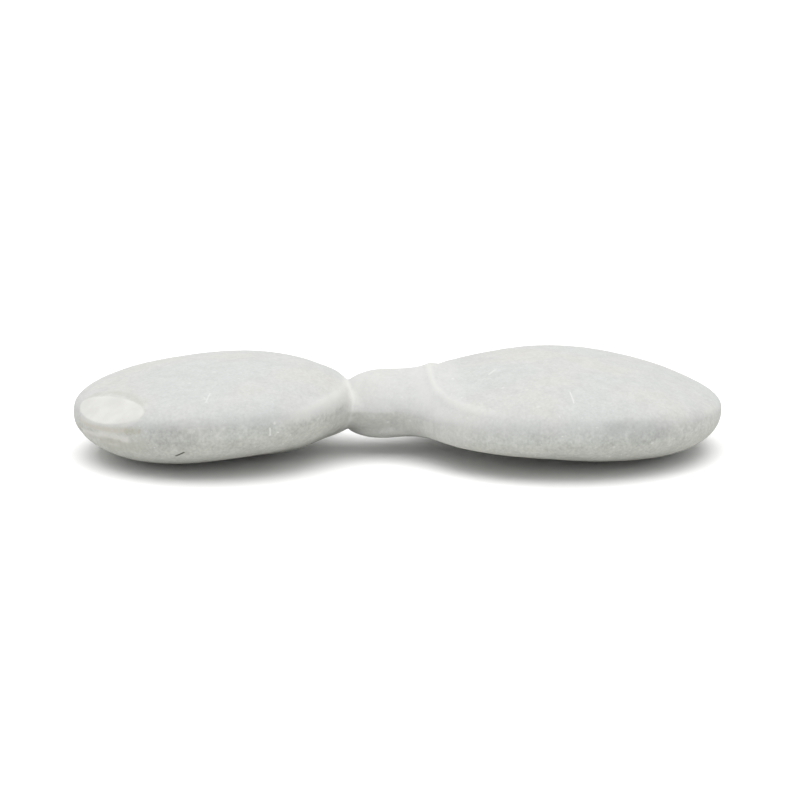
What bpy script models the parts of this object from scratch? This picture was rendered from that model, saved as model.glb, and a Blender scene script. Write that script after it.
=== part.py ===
"""Fairy stone: a flat natural concretion, two rounded discs grown together through a short neck.

Run with: blender --background --python part.py

The whole stone is one piece. Its form is a field, a number for every point in space that is
negative inside the stone and positive outside. Each disc and the neck has a field of its own,
and the three are blended into one. A ball is then stretched along the stone and each of its
points is moved straight out to where the field is zero.

X runs along the stone and the chipped disc is at -X. Y runs across it and Z is up.
The driving values are in millimetres. The mesh is made in metres.
"""

import bmesh
import bpy
import numpy as np

METRES_PER_MM = 0.001

# The two discs. A disc is a lens with a rim that leans: high at the neck, low at the outer tip.
# The dome is what is above the rim and the bowl is what is below it. The fullness of each has a
# value at the neck and one at the tip: 2 is an ellipse, less makes the rim an edge, and more
# makes a steep wall. A swelling scales the height along the disc, as a cubic from neck to tip.
# Beside the neck each disc also has a crest, a ring a little inside and above the rim.
CHIPPED_DISC = {
    "side": -1,
    "middle_x": -19.78,
    "half_length": 15.12,
    "rim_height": 5.80,
    "rim_fall": 0.76,
    "rim_curve": 0.33,
    "dome_height": 3.63,
    "dome_swelling": (0.09, 0.09, -0.235, 1.0),
    "dome_fullness": (1.73, 3.19),
    "bowl_depth": 5.57,
    "bowl_swelling": (-0.485, 0.21, 0.165, 1.0),
    "bowl_fullness": (1.73, 2.46),
    "crest_middle_x": -22.1,
    "crest_half_length": 16.82,
    "crest_squareness": 2.0,
}
PLAIN_DISC = {
    "side": 1,
    "middle_x": 17.83,
    "half_length": 17.26,
    "rim_height": 5.06,
    "rim_fall": 0.09,
    "rim_curve": 0.46,
    "dome_height": 4.41,
    "dome_swelling": (-0.22, -0.24, -0.04, 1.0),
    "dome_fullness": (2.28, 3.18),
    "bowl_depth": 4.87,
    "bowl_swelling": (0.035, -0.085, 0.335, 1.0),
    "bowl_fullness": (4.82, 2.23),
    "crest_middle_x": 19.59,
    "crest_half_length": 16.58,
    "crest_squareness": 2.4,
}
WIDTH_TO_LENGTH = 0.94
RIM_BLEND = 0.3
RIM_ROUNDING = 0.0015

# The neck is a short bar with a rounded section and rounded ends inside the discs. It is pinched
# where it meets the chipped disc, sharply on top and softly lower down. Each pair is a place along
# X and the neck's half height there.
NECK_HALF_HEIGHTS = ((-5.4, 2.33), (-3.2, 3.30), (-0.5, 3.41), (3.5, 3.67))
NECK_HEIGHT = 5.44
NECK_RISE = 0.03
NECK_WIDTH_TO_HEIGHT = 1.55
NECK_SQUARENESS = 1.60
NECK_MIDDLE_X = -1.5
NECK_STRAIGHT_HALF = 4.8
NECK_END_REACH = 4.5
NECK_FIELD_SCALE = 0.9
PINCHED_BLEND = 0.45
LOW_PINCH_BLEND = 2.14
PINCH_SOFTENS_FROM = 7.8
PINCH_SOFTENS_OVER = 2.6
SOFT_BLEND = 2.36

# Bands that follow a disc's crest near the neck: a narrow raised line along the crest, on one
# disc a broad raised brim too, and a hollow inside them. Each band has a height, negative for a
# hollow, a distance inside the crest, a half width, and the angle about the crest's middle,
# counted from the neck, where it has faded out. The bands are on the dome's side of the rim and
# are weaker on top of the neck than at its sides.
CHIPPED_DISC_BANDS = (
    (0.13, 0.45, 0.50, 57.0),
    (-0.12, 3.20, 1.80, 57.0),
)
PLAIN_DISC_BANDS = (
    (0.20, 0.45, 0.50, 67.0),
    (0.27, 1.40, 1.50, 67.0),
    (-0.33, 5.05, 2.45, 73.0),
)
BANDS_START_ABOVE = 0.6
BANDS_START_OVER = 0.3
BANDS_FULL_AT_ANGLE = 25.0
BANDS_SHARE_AT_NECK = 0.25

# The part of a disc's length from the neck over which its rim changes from an edge to a round.
EDGE_PART = 0.5

# Gentle unevenness of the whole stone, as a worn pebble has: place, reach in X, Y and Z, height.
WORN_SWELLS = (
    ((-26.0, 5.0, 9.0), (5.0, 4.5, 3.0), 0.14),
    ((-15.0, 7.5, 8.5), (4.0, 4.0, 3.0), -0.12),
    ((-21.0, 12.5, 5.0), (5.0, 3.0, 3.0), -0.22),
    ((-28.5, 9.5, 4.0), (3.5, 3.5, 3.0), 0.16),
    ((-13.0, -4.0, 1.0), (4.0, 4.0, 2.0), 0.10),
    ((14.0, 8.5, 9.0), (4.5, 4.0, 3.0), 0.13),
    ((25.0, 9.5, 7.0), (4.0, 3.5, 3.0), -0.15),
    ((18.0, 14.5, 5.5), (5.5, 3.0, 3.0), 0.20),
    ((31.0, 6.5, 5.0), (3.5, 3.5, 3.0), -0.16),
    ((27.0, -6.0, 1.5), (4.5, 4.0, 2.0), 0.10),
    ((-1.0, 5.0, 6.5), (2.2, 1.8, 2.2), 0.22),
)

# The chip: a flake has left a flat scar on the rim of one disc, with a rough broken band below it.
CHIP_MIDDLE = (-30.27, -6.88, 7.03)
CHIP_FACING = (-0.475, -0.319, 0.820)
CHIP_EDGE_ROUNDING = 0.10
BAND_DEPTH = 0.30
BAND_HEIGHT = -1.25
BAND_HALF_HEIGHT = 0.48
BAND_FROM_ANGLE = 8.0
BAND_TO_ANGLE = 48.0
BAND_FADE_ANGLE = 4.0
BAND_BREAKS_PER_TURN = 23.0
BAND_BREAK_SHARE = 0.35

# The stone stands on what its lowest parts lose where they are worn flat.
WORN_FLAT = 0.06

# The ball that is stretched over the stone, and the triangles that are left at the end.
RINGS = 300
POINTS_AROUND = 180
SECTION_WIDTH_TO_HEIGHT = 2.6
LARGEST_RADIUS = 20.0
HALVINGS = 26
TRIANGLES_WANTED = 9400

STONE_COLOUR = (0.42, 0.43, 0.41, 1.0)
STONE_ROUGHNESS = 0.8


def blend_smallest(first, second, reach):
    """The smaller of two fields, with a fillet of about the given reach where they cross."""
    share = np.clip(0.5 + 0.5 * (second - first) / reach, 0.0, 1.0)
    return second + (first - second) * share - reach * share * (1.0 - share)


def smooth_step(value):
    """Go from 0 to 1 without a corner while the value goes from 0 to 1."""
    held = np.clip(value, 0.0, 1.0)
    return held * held * (3.0 - 2.0 * held)


def rise_above(height, level, over):
    """0 well below a level and 1 well above it."""
    return 1.0 / (1.0 + np.exp(-(height - level) / over))


def place_on_disc(x, y, z, disc):
    """Distance along the disc (-1 at the neck, 1 at the tip), across it, and height above its rim."""
    along = (x - disc["middle_x"]) * disc["side"] / disc["half_length"]
    across = y / (disc["half_length"] * WIDTH_TO_LENGTH)
    rim_height = disc["rim_height"] - disc["rim_fall"] * along - disc["rim_curve"] * along**2
    return along, across, z - rim_height


def disc_field(x, y, z, disc):
    """The field of one disc: a dome and a bowl that meet at the leaning rim."""
    along, across, above_rim = place_on_disc(x, y, z, disc)
    to_tip = smooth_step((along + 1.0) / (2.0 * EDGE_PART))
    in_dome = rise_above(above_rim, 0.0, RIM_BLEND)
    held_along = np.clip(along, -1.1, 1.1)
    dome = disc["dome_height"] * np.polyval(disc["dome_swelling"], held_along)
    bowl = disc["bowl_depth"] * np.polyval(disc["bowl_swelling"], held_along)
    height = bowl + (dome - bowl) * in_dome
    dome_fullness = np.interp(to_tip, (0.0, 1.0), disc["dome_fullness"])
    bowl_fullness = np.interp(to_tip, (0.0, 1.0), disc["bowl_fullness"])
    fullness = bowl_fullness + (dome_fullness - bowl_fullness) * in_dome
    level = np.sqrt((above_rim / height) ** 2 + RIM_ROUNDING)
    field = along**2 + across**2 + level**fullness - 1.0
    half_length = disc["half_length"]
    slope_along = 2.0 * along / half_length
    slope_across = 2.0 * across / (half_length * WIDTH_TO_LENGTH)
    slope_up = fullness * level ** (fullness - 1.0) / height
    slope = np.sqrt(slope_along**2 + slope_across**2 + slope_up**2) + 0.001
    return field / slope


def rim_bands(x, y, z, disc, bands):
    """The raised lines and hollows that follow a disc's crest near the neck."""
    above_rim = place_on_disc(x, y, z, disc)[2]
    crest_half_length = disc["crest_half_length"]
    along = (x - disc["crest_middle_x"]) * disc["side"] / crest_half_length
    across = y / (crest_half_length * WIDTH_TO_LENGTH)
    power = disc["crest_squareness"]
    out = (np.abs(along) ** power + np.abs(across) ** power) ** (1.0 / power)
    inside_crest = (1.0 - out) * crest_half_length
    angle = np.degrees(np.arctan2(np.abs(across), -along))
    rising = smooth_step(angle / BANDS_FULL_AT_ANGLE)
    at_neck = BANDS_SHARE_AT_NECK + (1.0 - BANDS_SHARE_AT_NECK) * rising
    total = np.zeros_like(x)
    for height, inset, half_width, ends_at in bands:
        fading = 1.0 - smooth_step((angle - BANDS_FULL_AT_ANGLE) / (ends_at - BANDS_FULL_AT_ANGLE))
        strength = fading * at_neck
        total = total + height * strength * np.exp(-(((inside_crest - inset) / half_width) ** 2))
    return total * rise_above(above_rim, BANDS_START_ABOVE, BANDS_START_OVER)


def neck_field(x, y, z):
    """The field of the neck, a bar whose half height follows a cubic through the given places."""
    places, half_heights = zip(*NECK_HALF_HEIGHTS)
    cubic = np.polyfit(places, half_heights, 3)
    half_height = np.polyval(cubic, np.clip(x, places[0], places[-1]))
    half_width = half_height * NECK_WIDTH_TO_HEIGHT
    middle_height = NECK_HEIGHT + NECK_RISE * x
    across = np.abs(y) / half_width
    upward = np.abs(z - middle_height) / half_height
    beyond = np.maximum(np.abs(x - NECK_MIDDLE_X) - NECK_STRAIGHT_HALF, 0.0) / NECK_END_REACH
    power = NECK_SQUARENESS
    out = (across**power + upward**power + beyond**power) ** (1.0 / power)
    return (out - 1.0) * half_height * NECK_FIELD_SCALE


def worn_swells(x, y, z):
    """The gentle unevenness of a worn surface."""
    total = np.zeros_like(x)
    for place, reach, height in WORN_SWELLS:
        away = ((x - place[0]) / reach[0]) ** 2
        away = away + ((y - place[1]) / reach[1]) ** 2
        away = away + ((z - place[2]) / reach[2]) ** 2
        total = total + height * np.exp(-away)
    return total


def chip_field(x, y, z):
    """Positive on the side of the flat scar that the flake took away."""
    facing = np.array(CHIP_FACING)
    facing = facing / np.linalg.norm(facing)
    middle = np.array(CHIP_MIDDLE)
    return (x - middle[0]) * facing[0] + (y - middle[1]) * facing[1] + (z - middle[2]) * facing[2]


def broken_band(x, y, z):
    """How deep the rough band below the scar is, which breaks up along its length."""
    along, across, above_rim = place_on_disc(x, y, z, CHIPPED_DISC)
    angle = np.degrees(np.arctan2(-across, along))
    starts = smooth_step((angle - BAND_FROM_ANGLE) / BAND_FADE_ANGLE)
    ends = 1.0 - smooth_step((angle - BAND_TO_ANGLE) / BAND_FADE_ANGLE)
    breaks = 1.0 - BAND_BREAK_SHARE * (0.5 + 0.5 * np.sin(np.radians(angle) * BAND_BREAKS_PER_TURN))
    off_band = (above_rim - BAND_HEIGHT) / BAND_HALF_HEIGHT
    return BAND_DEPTH * starts * ends * breaks * np.exp(-(off_band**2))


def stone_field(x, y, z):
    """The field of the whole stone."""
    chipped = disc_field(x, y, z, CHIPPED_DISC)
    chipped = chipped - rim_bands(x, y, z, CHIPPED_DISC, CHIPPED_DISC_BANDS)
    plain = disc_field(x, y, z, PLAIN_DISC)
    plain = plain - rim_bands(x, y, z, PLAIN_DISC, PLAIN_DISC_BANDS)
    softer = smooth_step((PINCH_SOFTENS_FROM - z) / PINCH_SOFTENS_OVER)
    pinch_reach = PINCHED_BLEND + (LOW_PINCH_BLEND - PINCHED_BLEND) * softer
    body = blend_smallest(chipped, neck_field(x, y, z), pinch_reach)
    body = blend_smallest(body, plain, SOFT_BLEND)
    body = body - worn_swells(x, y, z) + broken_band(x, y, z)
    return -blend_smallest(-body, -chip_field(x, y, z), CHIP_EDGE_ROUNDING)


def line_height(x):
    """The height of the centre line, from tip to tip, that the points are moved out from."""
    left, right = CHIPPED_DISC, PLAIN_DISC
    left_tip = left["middle_x"] - left["half_length"]
    right_tip = right["middle_x"] + right["half_length"]
    places = (left_tip, left["middle_x"], NECK_MIDDLE_X, right["middle_x"], right_tip)
    left_tip_height = left["rim_height"] - left["rim_fall"] - left["rim_curve"]
    right_tip_height = right["rim_height"] - right["rim_fall"] - right["rim_curve"]
    heights = (left_tip_height, left["rim_height"], NECK_HEIGHT, right["rim_height"], right_tip_height)
    return np.interp(x, places, heights)


def find_tip(disc):
    """Where the centre line leaves the stone beyond a disc."""
    inside = disc["middle_x"]
    outside = disc["middle_x"] + 2.0 * disc["side"] * disc["half_length"]
    for _ in range(HALVINGS):
        middle = 0.5 * (inside + outside)
        height = line_height(middle)
        if stone_field(np.array([middle]), np.array([0.0]), np.array([height]))[0] < 0.0:
            inside = middle
        else:
            outside = middle
    return inside


def move_onto_stone(ball_points):
    """Move the points of a ball of radius 1, with its poles along Z, onto the stone's surface."""
    left_tip = find_tip(CHIPPED_DISC)
    right_tip = find_tip(PLAIN_DISC)
    middle = 0.5 * (left_tip + right_tip)
    half_length = 0.5 * (right_tip - left_tip)
    x = middle + half_length * ball_points[:, 2]
    start_height = line_height(x)
    angle = np.arctan2(ball_points[:, 1], ball_points[:, 0])
    across = np.cos(angle) * SECTION_WIDTH_TO_HEIGHT
    upward = np.sin(angle)
    size = np.hypot(across, upward)
    across = across / size
    upward = upward / size
    inside = np.zeros_like(x)
    outside = np.full_like(x, LARGEST_RADIUS)
    for _ in range(HALVINGS):
        radius = 0.5 * (inside + outside)
        is_inside = stone_field(x, radius * across, start_height + radius * upward) < 0.0
        inside = np.where(is_inside, radius, inside)
        outside = np.where(is_inside, outside, radius)
    at_pole = np.abs(ball_points[:, 2]) > 0.999999
    radius = np.where(at_pole, 0.0, inside)
    return np.column_stack((x, radius * across, start_height + radius * upward))


def rest_and_centre(points):
    """Wear the lowest parts flat, stand them at height 0 and centre the box on the origin."""
    lowest = points[:, 2].min() + WORN_FLAT
    points[:, 2] = np.maximum(points[:, 2], lowest) - lowest
    for axis in (0, 1):
        points[:, axis] -= 0.5 * (points[:, axis].min() + points[:, axis].max())
    return points


def read_points(mesh):
    """The mesh's points as rows of X, Y and Z."""
    flat = np.empty(len(mesh.vertices) * 3)
    mesh.vertices.foreach_get("co", flat)
    return flat.reshape(-1, 3)


def write_points(mesh, points):
    """Put rows of X, Y and Z back into the mesh."""
    mesh.vertices.foreach_set("co", points.astype(np.float32).ravel())
    mesh.update()


def make_ball():
    """A ball of quads whose rings will become the sections of the stone."""
    mesh = bpy.data.meshes.new("stone")
    ball = bmesh.new()
    bmesh.ops.create_uvsphere(ball, u_segments=POINTS_AROUND, v_segments=RINGS, radius=1.0)
    ball.to_mesh(mesh)
    ball.free()
    return mesh


def stone_material():
    """Pale grey worn stone."""
    material = bpy.data.materials.new("stone")
    material.use_nodes = True
    shader = material.node_tree.nodes["Principled BSDF"]
    shader.inputs["Base Color"].default_value = STONE_COLOUR
    shader.inputs["Roughness"].default_value = STONE_ROUGHNESS
    shader.inputs["Metallic"].default_value = 0.0
    return material


def thin_out(mesh):
    """Keep as many triangles as are wanted, most of them where the surface bends most."""
    fine = bpy.data.objects.new("fine_stone", mesh)
    bpy.context.scene.collection.objects.link(fine)
    thinner = fine.modifiers.new("thin out", "DECIMATE")
    thinner.ratio = TRIANGLES_WANTED / (2.0 * RINGS * POINTS_AROUND)
    depsgraph = bpy.context.evaluated_depsgraph_get()
    thinned = bpy.data.meshes.new_from_object(fine.evaluated_get(depsgraph))
    bpy.data.objects.remove(fine)
    return thinned


def outward_triangles(mesh):
    """Turn every face into a triangle that faces outwards."""
    solid = bmesh.new()
    solid.from_mesh(mesh)
    bmesh.ops.triangulate(solid, faces=solid.faces[:])
    bmesh.ops.recalc_face_normals(solid, faces=solid.faces[:])
    solid.to_mesh(mesh)
    solid.free()


def make_stone():
    """The stone as one closed solid."""
    mesh = make_ball()
    write_points(mesh, move_onto_stone(read_points(mesh)))
    mesh = thin_out(mesh)
    outward_triangles(mesh)
    write_points(mesh, rest_and_centre(read_points(mesh)) * METRES_PER_MM)
    mesh.name = "stone"
    mesh.materials.clear()
    mesh.materials.append(stone_material())
    stone = bpy.data.objects.new("stone", mesh)
    bpy.context.scene.collection.objects.link(stone)
    return stone


def clear_scene():
    """Remove whatever the scene holds."""
    for item in list(bpy.data.objects):
        bpy.data.objects.remove(item, do_unlink=True)


clear_scene()
made = make_stone()
box = read_points(made.data) / METRES_PER_MM
print("stone size in mm", np.round(box.max(axis=0) - box.min(axis=0), 2))
print("triangles", len(made.data.polygons))
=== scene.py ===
# %% [markdown]
# # A fairy stone, two discs of clay stone grown together through a short neck
#
# The real thing is a small natural concretion: clay cemented into two flat lenses and worn
# smooth. This lesson makes its looks in Blender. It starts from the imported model, so the stone
# is in the same place and has the same size as the solid. That size is a guess.

import bpy
import numpy as np
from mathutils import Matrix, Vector


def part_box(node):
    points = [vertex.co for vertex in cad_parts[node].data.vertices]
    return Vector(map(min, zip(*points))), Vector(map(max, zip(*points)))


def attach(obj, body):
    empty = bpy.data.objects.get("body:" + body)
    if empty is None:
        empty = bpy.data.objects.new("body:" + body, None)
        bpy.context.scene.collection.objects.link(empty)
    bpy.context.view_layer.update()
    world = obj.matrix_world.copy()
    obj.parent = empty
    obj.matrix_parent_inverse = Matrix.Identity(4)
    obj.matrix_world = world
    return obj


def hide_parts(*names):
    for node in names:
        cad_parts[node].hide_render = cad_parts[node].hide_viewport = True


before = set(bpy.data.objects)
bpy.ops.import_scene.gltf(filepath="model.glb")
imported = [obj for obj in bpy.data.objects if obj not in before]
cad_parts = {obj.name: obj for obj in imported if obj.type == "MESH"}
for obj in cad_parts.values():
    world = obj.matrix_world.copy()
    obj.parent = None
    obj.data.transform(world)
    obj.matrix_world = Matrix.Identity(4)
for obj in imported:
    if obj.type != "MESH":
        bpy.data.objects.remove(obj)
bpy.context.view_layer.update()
METRES_PER_MM = 0.001

# %% [markdown]
# ## The camera
# The stone was seen from the front and a little from above, about 14 degrees, from so far that
# its far tip looks hardly smaller than its near one. A long lens a third of a metre away does
# the same. The camera could be aimed by a constraint, but a direction turned into a rotation
# once is simpler and stays as it is.

# %% Set up the camera
CAMERA_AZIMUTH = -2.9
CAMERA_ELEVATION = 14.0
CAMERA_DISTANCE_MM = 340.0
LOOK_AT_MM = Vector((0.0, 0.0, 5.0))
AIM_RIGHT_MM = 0.16
AIM_UP_MM = 0.46
VIEW_WIDTH_MM = 86.56
SENSOR_WIDTH = 36.0

azimuth = np.radians(CAMERA_AZIMUTH)
elevation = np.radians(CAMERA_ELEVATION)
to_camera = Vector((
    np.sin(azimuth) * np.cos(elevation),
    -np.cos(azimuth) * np.cos(elevation),
    np.sin(elevation),
))
camera_data = bpy.data.cameras.new("camera")
camera_data.sensor_width = SENSOR_WIDTH
camera_data.lens = SENSOR_WIDTH * CAMERA_DISTANCE_MM / VIEW_WIDTH_MM
camera = bpy.data.objects.new("camera", camera_data)
bpy.context.scene.collection.objects.link(camera)
camera.rotation_mode = "QUATERNION"
camera.rotation_quaternion = to_camera.to_track_quat("Z", "Y")
camera_right = camera.rotation_quaternion @ Vector((1.0, 0.0, 0.0))
camera_up = camera.rotation_quaternion @ Vector((0.0, 1.0, 0.0))
aim = LOOK_AT_MM + camera_right * AIM_RIGHT_MM + camera_up * AIM_UP_MM
camera.location = (aim + to_camera * CAMERA_DISTANCE_MM) * METRES_PER_MM
camera_data.clip_start = 0.01
camera_data.clip_end = 20.0
bpy.context.scene.camera = camera
print("camera", [round(value, 3) for value in camera.location], "lens", round(camera_data.lens, 1))

# %% [markdown]
# ## The two discs
# Each disc is a lens: a low dome above and a deeper bowl below, which meet at a rim. The rims
# lean, high at the neck and low at the outer tips. A lens could be turned like a bowl on a
# lathe, but these are not quite round and change from an edge at the neck to a soft round at
# the tip. So the stone is a field: a number for each point of space, negative inside and
# positive outside. Fields are easy to blend, cut and swell.

# %% Values of the two discs
CHIPPED_DISC = {
    "side": -1,
    "middle_x": -19.78,
    "half_length": 15.12,
    "rim_height": 5.80,
    "rim_fall": 0.76,
    "rim_curve": 0.33,
    "dome_height": 3.63,
    "dome_swelling": (0.09, 0.09, -0.235, 1.0),
    "dome_fullness": (1.73, 3.19),
    "bowl_depth": 5.57,
    "bowl_swelling": (-0.485, 0.21, 0.165, 1.0),
    "bowl_fullness": (1.73, 2.46),
    "crest_middle_x": -22.1,
    "crest_half_length": 16.82,
    "crest_squareness": 2.0,
}
PLAIN_DISC = {
    "side": 1,
    "middle_x": 17.83,
    "half_length": 17.26,
    "rim_height": 5.06,
    "rim_fall": 0.09,
    "rim_curve": 0.46,
    "dome_height": 4.41,
    "dome_swelling": (-0.22, -0.24, -0.04, 1.0),
    "dome_fullness": (2.28, 3.18),
    "bowl_depth": 4.87,
    "bowl_swelling": (0.035, -0.085, 0.335, 1.0),
    "bowl_fullness": (4.82, 2.23),
    "crest_middle_x": 19.59,
    "crest_half_length": 16.58,
    "crest_squareness": 2.4,
}
WIDTH_TO_LENGTH = 0.94
RIM_BLEND = 0.3
RIM_ROUNDING = 0.0015
EDGE_PART = 0.5


def smooth_step(value):
    """Go from 0 to 1 without a corner while the value goes from 0 to 1."""
    held = np.clip(value, 0.0, 1.0)
    return held * held * (3.0 - 2.0 * held)


def rise_above(height, level, over):
    """0 well below a level and 1 well above it."""
    return 1.0 / (1.0 + np.exp(-(height - level) / over))


def place_on_disc(x, y, z, disc):
    """Distance along the disc (-1 at the neck, 1 at the tip), across it, and height above its rim."""
    along = (x - disc["middle_x"]) * disc["side"] / disc["half_length"]
    across = y / (disc["half_length"] * WIDTH_TO_LENGTH)
    rim_height = disc["rim_height"] - disc["rim_fall"] * along - disc["rim_curve"] * along**2
    return along, across, z - rim_height


# %% The field of one disc
def disc_field(x, y, z, disc):
    """The field of one disc: a dome and a bowl that meet at the leaning rim."""
    along, across, above_rim = place_on_disc(x, y, z, disc)
    to_tip = smooth_step((along + 1.0) / (2.0 * EDGE_PART))
    in_dome = rise_above(above_rim, 0.0, RIM_BLEND)
    held_along = np.clip(along, -1.1, 1.1)
    dome = disc["dome_height"] * np.polyval(disc["dome_swelling"], held_along)
    bowl = disc["bowl_depth"] * np.polyval(disc["bowl_swelling"], held_along)
    height = bowl + (dome - bowl) * in_dome
    dome_fullness = np.interp(to_tip, (0.0, 1.0), disc["dome_fullness"])
    bowl_fullness = np.interp(to_tip, (0.0, 1.0), disc["bowl_fullness"])
    fullness = bowl_fullness + (dome_fullness - bowl_fullness) * in_dome
    level = np.sqrt((above_rim / height) ** 2 + RIM_ROUNDING)
    field = along**2 + across**2 + level**fullness - 1.0
    half_length = disc["half_length"]
    slope_along = 2.0 * along / half_length
    slope_across = 2.0 * across / (half_length * WIDTH_TO_LENGTH)
    slope_up = fullness * level ** (fullness - 1.0) / height
    slope = np.sqrt(slope_along**2 + slope_across**2 + slope_up**2) + 0.001
    return field / slope


for disc in (CHIPPED_DISC, PLAIN_DISC):
    print("disc length", round(2.0 * disc["half_length"], 1), "mm, rim at", disc["rim_height"], "mm")

# %% [markdown]
# ## The raised lines beside the neck
# Beside the neck each disc carries a narrow raised line, and the plain disc has a broad brim
# with a shallow hollow inside it. They don't follow the rim exactly, so each disc has a ring of
# its own for them, the crest ring. The lines are bands at set distances inside that ring. They
# are weaker right at the neck, full beside it, and fade out along the front and back.

# %% Bands along the crest rings
CHIPPED_DISC_BANDS = (
    (0.13, 0.45, 0.50, 57.0),
    (-0.12, 3.20, 1.80, 57.0),
)
PLAIN_DISC_BANDS = (
    (0.20, 0.45, 0.50, 67.0),
    (0.27, 1.40, 1.50, 67.0),
    (-0.33, 5.05, 2.45, 73.0),
)
BANDS_START_ABOVE = 0.6
BANDS_START_OVER = 0.3
BANDS_FULL_AT_ANGLE = 25.0
BANDS_SHARE_AT_NECK = 0.25


def inside_crest_and_angle(x, y, z, disc):
    """How far a point is inside the crest in mm, and its angle about the disc from the neck."""
    crest_half_length = disc["crest_half_length"]
    along = (x - disc["crest_middle_x"]) * disc["side"] / crest_half_length
    across = y / (crest_half_length * WIDTH_TO_LENGTH)
    power = disc["crest_squareness"]
    out = (np.abs(along) ** power + np.abs(across) ** power) ** (1.0 / power)
    angle = np.degrees(np.arctan2(np.abs(across), -along))
    return (1.0 - out) * crest_half_length, angle


def rim_bands(x, y, z, disc, bands):
    """The raised lines and hollows that follow a disc's crest ring near the neck."""
    above_rim = place_on_disc(x, y, z, disc)[2]
    inside_crest, angle = inside_crest_and_angle(x, y, z, disc)
    rising = smooth_step(angle / BANDS_FULL_AT_ANGLE)
    at_neck = BANDS_SHARE_AT_NECK + (1.0 - BANDS_SHARE_AT_NECK) * rising
    total = np.zeros_like(x)
    for height, inset, half_width, ends_at in bands:
        fading = 1.0 - smooth_step((angle - BANDS_FULL_AT_ANGLE) / (ends_at - BANDS_FULL_AT_ANGLE))
        strength = fading * at_neck
        total = total + height * strength * np.exp(-(((inside_crest - inset) / half_width) ** 2))
    return total * rise_above(above_rim, BANDS_START_ABOVE, BANDS_START_OVER)


print("raised lines and hollows", len(CHIPPED_DISC_BANDS) + len(PLAIN_DISC_BANDS))

# %% [markdown]
# ## The neck
# The neck is a short bar of the same stone, wider than it is high, with a rounded section and
# rounded ends. It is pinched where it meets the chipped disc and runs softly into the plain
# disc. A smooth minimum of two fields gives such joins: a small reach keeps a crease and a
# large one makes a fillet. At the pinch the reach grows from top to bottom. The height of the
# neck stops changing at the outer places in its list, which leaves a crease underneath there.

# %% The neck and the blend
NECK_HALF_HEIGHTS = ((-5.4, 2.33), (-3.2, 3.30), (-0.5, 3.41), (3.5, 3.67))
NECK_HEIGHT = 5.44
NECK_RISE = 0.03
NECK_WIDTH_TO_HEIGHT = 1.55
NECK_SQUARENESS = 1.60
NECK_MIDDLE_X = -1.5
NECK_STRAIGHT_HALF = 4.8
NECK_END_REACH = 4.5
NECK_FIELD_SCALE = 0.9
PINCHED_BLEND = 0.45
LOW_PINCH_BLEND = 2.14
PINCH_SOFTENS_FROM = 7.8
PINCH_SOFTENS_OVER = 2.6
SOFT_BLEND = 2.36


def neck_field(x, y, z):
    """The field of the neck, a bar whose half height follows a cubic through the given places."""
    places, half_heights = zip(*NECK_HALF_HEIGHTS)
    cubic = np.polyfit(places, half_heights, 3)
    half_height = np.polyval(cubic, np.clip(x, places[0], places[-1]))
    half_width = half_height * NECK_WIDTH_TO_HEIGHT
    middle_height = NECK_HEIGHT + NECK_RISE * x
    across = np.abs(y) / half_width
    upward = np.abs(z - middle_height) / half_height
    beyond = np.maximum(np.abs(x - NECK_MIDDLE_X) - NECK_STRAIGHT_HALF, 0.0) / NECK_END_REACH
    power = NECK_SQUARENESS
    out = (across**power + upward**power + beyond**power) ** (1.0 / power)
    return (out - 1.0) * half_height * NECK_FIELD_SCALE


def blend_smallest(first, second, reach):
    """The smaller of two fields, with a fillet of about the given reach where they cross."""
    share = np.clip(0.5 + 0.5 * (second - first) / reach, 0.0, 1.0)
    return second + (first - second) * share - reach * share * (1.0 - share)


print("neck height", 2.0 * NECK_HALF_HEIGHTS[2][1], "mm")

# %% [markdown]
# ## Wear and the chip
# Water and sand leave a pebble slightly uneven, so a few broad swells and dips are added. Then
# the chip: a flake has come off the rim near one tip and left a flat pale scar, with a rough
# broken band below it where the edge crushed. Cutting with a plane is a maximum of two fields.

# %% Swells, the scar's plane and the broken band
WORN_SWELLS = (
    ((-26.0, 5.0, 9.0), (5.0, 4.5, 3.0), 0.14),
    ((-15.0, 7.5, 8.5), (4.0, 4.0, 3.0), -0.12),
    ((-21.0, 12.5, 5.0), (5.0, 3.0, 3.0), -0.22),
    ((-28.5, 9.5, 4.0), (3.5, 3.5, 3.0), 0.16),
    ((-13.0, -4.0, 1.0), (4.0, 4.0, 2.0), 0.10),
    ((14.0, 8.5, 9.0), (4.5, 4.0, 3.0), 0.13),
    ((25.0, 9.5, 7.0), (4.0, 3.5, 3.0), -0.15),
    ((18.0, 14.5, 5.5), (5.5, 3.0, 3.0), 0.20),
    ((31.0, 6.5, 5.0), (3.5, 3.5, 3.0), -0.16),
    ((27.0, -6.0, 1.5), (4.5, 4.0, 2.0), 0.10),
    ((-1.0, 5.0, 6.5), (2.2, 1.8, 2.2), 0.22),
)
CHIP_MIDDLE = (-30.27, -6.88, 7.03)
CHIP_FACING = (-0.475, -0.319, 0.820)
CHIP_EDGE_ROUNDING = 0.10
BAND_DEPTH = 0.30
BAND_HEIGHT = -1.25
BAND_HALF_HEIGHT = 0.48
BAND_FROM_ANGLE = 8.0
BAND_TO_ANGLE = 48.0
BAND_FADE_ANGLE = 4.0
BAND_BREAKS_PER_TURN = 23.0
BAND_BREAK_SHARE = 0.35


def worn_swells(x, y, z):
    """The gentle unevenness of a worn surface."""
    total = np.zeros_like(x)
    for place, reach, height in WORN_SWELLS:
        away = ((x - place[0]) / reach[0]) ** 2
        away = away + ((y - place[1]) / reach[1]) ** 2
        away = away + ((z - place[2]) / reach[2]) ** 2
        total = total + height * np.exp(-away)
    return total


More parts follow.
